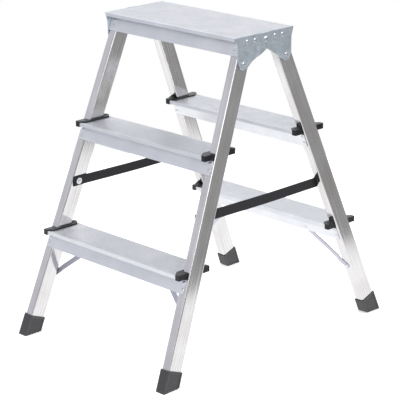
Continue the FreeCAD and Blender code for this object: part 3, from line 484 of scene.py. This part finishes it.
# Each rib is half a step behind its neighbour, as yarns go over and under in turn.
half_turns = add(tree, "ShaderNodeMath", {0: rib_turns.outputs[0], 1: 0.5}, operation="MULTIPLY")
shifted = add(
    tree, "ShaderNodeMath", {0: step_turns.outputs[0], 1: half_turns.outputs[0]},
    operation="ADD",
)
ribs = add(tree, "ShaderNodeMath", {0: rib_turns.outputs[0]}, operation="SINE")
steps = add(tree, "ShaderNodeMath", {0: shifted.outputs[0]}, operation="SINE")
weave = add(
    tree, "ShaderNodeMath", {0: steps.outputs[0], 1: STEP_SHARE, 2: ribs.outputs[0]},
    operation="MULTIPLY_ADD",
)
highest = 1 + STEP_SHARE
share = add(
    tree, "ShaderNodeMapRange", {"Value": weave.outputs[0], "From Min": -highest, "From Max": highest},
)
fuzz = add(tree, "ShaderNodeTexNoise", {"Vector": place, "Scale": per_mm(3), "Detail": 4.0})
yarn = add(
    tree, "ShaderNodeValToRGB", {"Fac": share.outputs["Result"]},
    stops=[(0.1, linear("#060509")), (0.9, linear("#1f1e26"))],
)
faded = add(
    tree, "ShaderNodeValToRGB", {"Fac": fuzz.outputs["Fac"]},
    stops=[(0.3, linear("#cccccc")), (0.7, linear("#ffffff"))],
)
colour = add(
    tree, "ShaderNodeMix", {0: 1.0, 6: yarn.outputs["Color"], 7: faded.outputs["Color"]},
    data_type="RGBA", blend_type="MULTIPLY",
)
tree.links.new(colour.outputs[2], shader.inputs["Base Color"])
relief = add(
    tree, "ShaderNodeBump", {"Height": share.outputs["Result"], "Strength": 0.6, "Distance": 0.35 * MM},
)
tree.links.new(relief.outputs["Normal"], shader.inputs["Normal"])
print("finish:", webbing_finish.name)

# %% [markdown]
# ## Finishes onto the pieces
# The workshop's record names a material slot for every piece, so one table from slot to finish
# dresses them all.

# %% Dress the frame
FINISHES = {
    "stile": tube_finish,
    "tread": tread_finish,
    "zinc_steel": zinc_finish,
    "rivet": rivet_finish,
    "cap": cap_finish,
    "foot": shoe_finish,
    "webbing": webbing_finish,
}
for row in frame["record"]["subparts"]:
    materials = frame["nodes"][row["node"]].data.materials
    materials.clear()
    materials.append(strip_finish if row["node"].endswith("_brace") else FINISHES[row["material_slot"]])

# %% [markdown]
# ## The spreader straps
# Each strap is one length of webbing that stops the halves from sliding apart. At each end it is
# folded back on itself and held by a rivet through both layers, with a wide washer. A cloth
# simulation would only pull it straight, so it is drawn directly: a centreline goes out along the
# short tab, round the fold, and along the main run, and a flat section with rounded edges is
# swept along it.

# %% The line of one strap
WEBBING_THICKNESS = 1.15 * MM
WEBBING_WIDTH = 22 * MM
TAB_LENGTH = 37 * MM
TAB_DEPTH = 0.55 * MM
TAB_CURL = 0.9 * MM
RUN_DEPTH = -0.72 * MM
SAG = 1.6 * MM
TAB_STEPS = 8
FOLD_STEPS = 7
RUN_STEPS = 32


def half_line(end):
    """Points (along Y, depth towards the ladder's middle, height) from a tab's free end to mid span."""
    fold_radius = (TAB_DEPTH - RUN_DEPTH) / 2
    fold_start = end - fold_radius - WEBBING_THICKNESS / 2
    points = []
    # The tab's free end curls up and away by a little.
    for step in range(TAB_STEPS + 1):
        share = step / TAB_STEPS
        lift = TAB_CURL * (1 - share) ** 2
        points.append((fold_start - TAB_LENGTH * (1 - share), TAB_DEPTH + lift / 4, lift))
    for step in range(1, FOLD_STEPS):
        angle = math.pi * step / FOLD_STEPS
        depth = (TAB_DEPTH + RUN_DEPTH) / 2 + fold_radius * math.cos(angle)
        points.append((fold_start + fold_radius * math.sin(angle), depth, 0.0))
    for step in range(RUN_STEPS + 1):
        share = step / RUN_STEPS
        droop = -SAG * math.sin(math.pi / 2 * share) ** 2
        points.append((fold_start * (1 - share), RUN_DEPTH * (1 - share) ** 3, droop))
    return points


strap_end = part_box("right_strap")[1].y
strap_points = half_line(strap_end)
strap_points += [(-along_y, depth, lift) for along_y, depth, lift in reversed(strap_points[:-1])]
print("strap:", len(strap_points), "points on its line")


# %% The flat section with rounded edges
FLAT_STEPS = 10


def webbing_section():
    """Points (across the width, through the thickness) round the flat section."""
    half_thick = WEBBING_THICKNESS / 2
    flat = WEBBING_WIDTH / 2 - half_thick
    turns = (math.pi / 4, 0, -math.pi / 4)
    top = [(flat * (2 * step / FLAT_STEPS - 1), half_thick) for step in range(FLAT_STEPS + 1)]
    edge = [(flat + half_thick * math.cos(turn), half_thick * math.sin(turn)) for turn in turns]
    half = top + edge
    return half + [(-wide, -thick) for wide, thick in half]


print("section:", len(webbing_section()), "points round it")


# %% Sweep the section along the line
def sweep(name, line, up):
    """A mesh of the section carried along the line, with its width held along up."""
    mesh = bmesh.new()
    rings = []
    for index, point in enumerate(line):
        before = line[max(index - 1, 0)]
        after = line[min(index + 1, len(line) - 1)]
        forward = (after - before).normalized()
        outward = up.cross(forward).normalized()
        ring = [mesh.verts.new(point + up * wide + outward * thick) for wide, thick in webbing_section()]
        rings.append(ring)
    for ring, following in zip(rings, rings[1:]):
        for index in range(len(ring)):
            after = (index + 1) % len(ring)
            mesh.faces.new((ring[index], ring[after], following[after], following[index]))
    mesh.faces.new(list(reversed(rings[0])))
    mesh.faces.new(rings[-1])
    bmesh.ops.recalc_face_normals(mesh, faces=mesh.faces)
    # The long faces are shaded round; the two cut ends stay sharp.
    for face in mesh.faces:
        face.smooth = len(face.verts) == 4
        if not face.smooth:
            for edge in face.edges:
                edge.smooth = False
    data = bpy.data.meshes.new(name)
    mesh.to_mesh(data)
    mesh.free()
    return data


def hang_strap(name, side):
    """One strap on the given side, -1 left or +1 right, leaning with the stiles."""
    low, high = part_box(name)
    middle = Vector(((low.x + high.x) / 2, 0, (low.z + high.z) / 2))
    up = Vector((-side * math.sin(STILE_SPLAY), 0, math.cos(STILE_SPLAY)))
    inwards = Vector((-side * math.cos(STILE_SPLAY), 0, -math.sin(STILE_SPLAY)))
    line = [middle + Vector((0, y, 0)) + inwards * depth + up * lift for y, depth, lift in strap_points]
    strap = bpy.data.objects.new(f"{name}_webbing", sweep(f"{name}_webbing", line, up))
    strap.data.materials.append(webbing_finish)
    bpy.context.scene.collection.objects.link(strap)
    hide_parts(name)
    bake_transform(strap)
    return strap


for name, side in (("left_strap", -1), ("right_strap", 1)):
    strap = hang_strap(name, side)
    print(strap.name, len(strap.data.vertices), "points")

# %% [markdown]
# ## The floor
# Metal is mostly a picture of the room it stands in, so the room matters as much as the finishes.
# The ladder stands on plain white paper on a round floor. Low down the room is grey, which gives
# the tubes their darker tone, and the end of the white makes the line where a tube turns from
# white to grey. One floor could be lit to do this; here the Light Path node tells a mirrored floor
# from a seen one instead, so that each can be set by itself.

# %% The round white floor
FLOOR_RADIUS = 1.4
FLOOR_SIDES = 96
FLOOR_GAP = 0.2 * MM
WHITE_TO = 1.05
GREY_FROM = 1.25
PAPER_EDGE = (1.0, -0.03, 0.0)
PAPER_REACH = 0.65
PAPER_FADE = 0.08
ROOM_LOW = 0.36
FLOOR_MIRRORED = 1.15

rim = bmesh.new()
bmesh.ops.create_circle(rim, cap_ends=True, radius=FLOOR_RADIUS, segments=FLOOR_SIDES)
floor_mesh = bpy.data.meshes.new("studio_floor")
rim.to_mesh(floor_mesh)
rim.free()
floor = bpy.data.objects.new("studio_floor", floor_mesh)
bpy.context.scene.collection.objects.link(floor)
floor.location = (0, 0, cad_box[0][2] - FLOOR_GAP)

# Matt painted board, which glows a little so that it stays white in the ladder's shade.
floor_finish, tree, shader, place = new_finish("white_floor", Roughness=0.9)
shader.inputs["Base Color"].default_value = linear("#f2f2f2")
shader.inputs["Specular IOR Level"].default_value = 0.0
shader.inputs["Emission Color"].default_value = (1, 1, 1, 1)
shader.inputs["Emission Strength"].default_value = 0.45
# In the metals the floor is evenly bright, and fades to the room's grey before its rim.
reach = add(tree, "ShaderNodeVectorMath", {0: place}, operation="LENGTH").outputs["Value"]
within = add(
    tree, "ShaderNodeMapRange",
    {"Value": reach, "From Min": WHITE_TO, "From Max": GREY_FROM, "To Min": 1.0, "To Max": 0.0},
    interpolation_type="SMOOTHSTEP",
)
# To the right the white paper ends in a straight edge.
beyond = add(
    tree, "ShaderNodeVectorMath", {0: place, 1: PAPER_EDGE},
    operation="DOT_PRODUCT",
).outputs["Value"]
short_of = add(
    tree, "ShaderNodeMapRange",
    {
        "Value": beyond, "From Min": PAPER_REACH, "From Max": PAPER_REACH + PAPER_FADE, "To Min": 1.0,
        "To Max": 0.0,
    },
    interpolation_type="SMOOTHSTEP",
)
whiteness = add(
    tree, "ShaderNodeMath", {0: within.outputs["Result"], 1: short_of.outputs["Result"]},
    operation="MULTIPLY",
).outputs[0]
strength = add(
    tree, "ShaderNodeMapRange", {"Value": whiteness, "To Min": ROOM_LOW, "To Max": FLOOR_MIRRORED},
).outputs["Result"]
image = add(tree, "ShaderNodeEmission", {"Color": (0.98, 0.98, 1.0, 1), "Strength": strength})
direct = add(tree, "ShaderNodeLightPath").outputs["Is Camera Ray"]
both = add(tree, "ShaderNodeMixShader", {0: direct, 1: image.outputs[0], 2: shader.outputs["BSDF"]})
tree.links.new(both.outputs[0], tree.nodes["Material Output"].inputs["Surface"])
floor_mesh.materials.append(floor_finish)
print("floor:", 2 * FLOOR_RADIUS, "m across")

# %% [markdown]
# ## The room in the metals
# The camera sees plain white behind the ladder, and the metals see a room: grey walls low down,
# paler ones higher up, a white backdrop behind the ladder, which whitens the treads, and a grey
# curtain on the front left. A world shader can hold all of it, with no walls to build.

# %% The room
BACKDROP = (-0.72, 0.69)
CURTAIN = (-0.64, -0.77)

world = bpy.data.worlds.new("studio_room")
bpy.context.scene.world = world
world.use_nodes = True
tree = world.node_tree
tree.nodes.clear()
toward = add(tree, "ShaderNodeTexCoord").outputs["Generated"]
height = add(tree, "ShaderNodeSeparateXYZ", {"Vector": toward}).outputs["Z"]


def part_of_room(direction, from_share, to_share, low, high):
    """How far a direction looks at one part of the room, between two heights."""
    facing = add(
        tree, "ShaderNodeVectorMath", {0: toward, 1: (*direction, 0.0)},
        operation="DOT_PRODUCT",
    ).outputs["Value"]
    near = add(
        tree, "ShaderNodeMapRange", {"Value": facing, "From Min": from_share, "From Max": to_share},
        interpolation_type="SMOOTHSTEP",
    )
    above = add(
        tree, "ShaderNodeMapRange", {"Value": height, "From Min": low, "From Max": high},
        interpolation_type="SMOOTHSTEP",
    )
    return add(
        tree, "ShaderNodeMath", {0: near.outputs["Result"], 1: above.outputs["Result"]},
        operation="MULTIPLY",
    ).outputs[0]


raised = add(tree, "ShaderNodeMapRange", {"Value": height, "From Min": -0.5, "From Max": 1.0})
walls = add(tree, "ShaderNodeValToRGB", {"Fac": raised.outputs["Result"]}, stops=[
    (0.2, (ROOM_LOW, ROOM_LOW, ROOM_LOW, 1)),
    (0.33, (0.38, 0.38, 0.40, 1)),
    (0.47, (0.50, 0.51, 0.54, 1)),
    (0.6, (1.05, 1.05, 1.07, 1)),
    (0.85, (0.72, 0.72, 0.74, 1)),
])
curtained = add(
    tree, "ShaderNodeMix",
    {0: part_of_room(CURTAIN, 0.3, 0.6, 0.7, 0.4), 6: walls.outputs["Color"], 7: (0.66, 0.67, 0.73, 1)},
    data_type="RGBA",
)
room = add(
    tree, "ShaderNodeMix",
    {
        0: part_of_room(BACKDROP, 0.35, 0.75, -0.05, 0.08), 6: curtained.outputs[2],
        7: (1.22, 1.22, 1.25, 1),
    },
    data_type="RGBA",
).outputs[2]
seen = add(tree, "ShaderNodeBackground", {"Color": (1, 1, 1, 1), "Strength": 1.0}).outputs[0]
lit = add(tree, "ShaderNodeBackground", {"Color": room, "Strength": 1.0}).outputs[0]
straight = add(tree, "ShaderNodeLightPath").outputs["Is Camera Ray"]
both = add(tree, "ShaderNodeMixShader", {0: straight, 1: lit, 2: seen}).outputs[0]
add(tree, "ShaderNodeOutputWorld", {"Surface": both})
print("room:", world.name)

# %% [markdown]
# ## The lamps
# Three round softboxes light the ladder. The large one overhead gives the soft shade and is kept
# out of the metals, where it would burn out the treads seen from above. The one beside the camera
# is only for the metals: it puts the bright line on every rounded corner. The third, on the
# right, does both.

# %% Three soft lamps
LAMP_AIM = Vector((0, 0, 0.35))
LAMPS = [
    # name, place, size, watts, lights matt surfaces, shows in glossy ones
    ("overhead_softbox", (-0.6, -0.6, 3.0), 2.4, 45, True, False),
    ("camera_softbox", (3.3, -3.0, 1.9), 1.3, 14, False, True),
    ("side_softbox", (3.4, 1.0, 1.9), 1.5, 32, True, True),
]
for name, spot, size, watts, on_matt, on_gloss in LAMPS:
    lamp_data = bpy.data.lights.new(name, "AREA")
    lamp_data.shape = "DISK"
    lamp_data.size = size
    lamp_data.energy = watts
    lamp = bpy.data.objects.new(name, lamp_data)
    bpy.context.scene.collection.objects.link(lamp)
    lamp.location = spot
    lamp.rotation_euler = (LAMP_AIM - lamp.location).to_track_quat("-Z", "Y").to_euler()
    lamp.visible_diffuse = on_matt
    lamp.visible_glossy = on_gloss
    print("lamp:", name)

# White stays white, with no film-like curve.
bpy.context.scene.view_settings.view_transform = "Standard"
